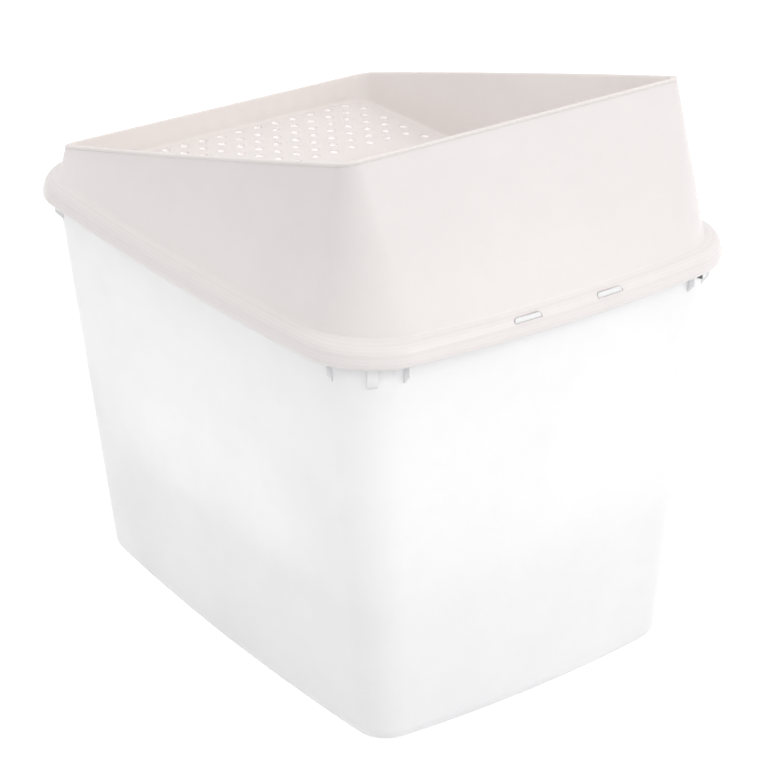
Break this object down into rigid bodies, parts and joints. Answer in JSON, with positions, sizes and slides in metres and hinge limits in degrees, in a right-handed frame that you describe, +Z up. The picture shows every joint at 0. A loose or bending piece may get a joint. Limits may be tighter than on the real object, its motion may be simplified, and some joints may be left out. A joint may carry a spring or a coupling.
{
  "type": "top entry litter box",
  "caption": "Top entry litter box: a tapered white bin, a hood with a sloping rim held by four hooks, and a lift-out tray with a perforated step and an entry opening.",
  "frame": {"origin": "on the floor under the middle of the bin", "axes": "+X along the length towards the tall end of the hood, +Y across the width, +Z up"},
  "size_m": [0.5, 0.388, 0.4732],
  "materials": {
    "bin_white": "satin moulded",
    "hood_grey": "satin moulded",
    "tray_grey": "satin moulded",
    "hook_white": "satin moulded"
  },
  "bodies": {
    "base_bin": {"bin": "bin_white"},
    "lid": {"hood": "hood_grey"},
    "tray": {"step_tray": "tray_grey"},
    "hook_rear_left": {"rear_hook_left": "hook_white"},
    "hook_rear_right": {"rear_hook_right": "hook_white"},
    "hook_front_left": {"front_hook_left": "hook_white"},
    "hook_front_right": {"front_hook_right": "hook_white"}
  },
  "joints": [
    {"name": "lid_lift", "type": "slide", "parent": "base_bin", "child": "lid", "axis": [0, 0, 1], "range_m": [0, 0.08]},
    {"name": "tray_lift", "type": "slide", "parent": "lid", "child": "tray", "axis": [0, 0, 1], "range_m": [0, 0.15]},
    {"name": "rear_hook_left_flex", "type": "hinge", "parent": "lid", "child": "hook_rear_left", "pos_m": [0.24409, -0.038, 0.3423], "axis": [-0.0322, -0.9995, 0], "range_deg": [0, 4.5], "stiffness_Nm_per_rad": 0.3},
    {"name": "rear_hook_right_flex", "type": "hinge", "parent": "lid", "child": "hook_rear_right", "pos_m": [0.24409, 0.038, 0.3423], "axis": [0.0322, -0.9995, 0], "range_deg": [0, 4.5], "stiffness_Nm_per_rad": 0.3},
    {"name": "front_hook_left_flex", "type": "hinge", "parent": "lid", "child": "hook_front_left", "pos_m": [-0.24409, -0.038, 0.3423], "axis": [-0.0322, 0.9995, 0], "range_deg": [0, 4.5], "stiffness_Nm_per_rad": 0.3},
    {"name": "front_hook_right_flex", "type": "hinge", "parent": "lid", "child": "hook_front_right", "pos_m": [-0.24409, 0.038, 0.3423], "axis": [0.0322, 0.9995, 0], "range_deg": [0, 4.5], "stiffness_Nm_per_rad": 0.3}
  ]
}
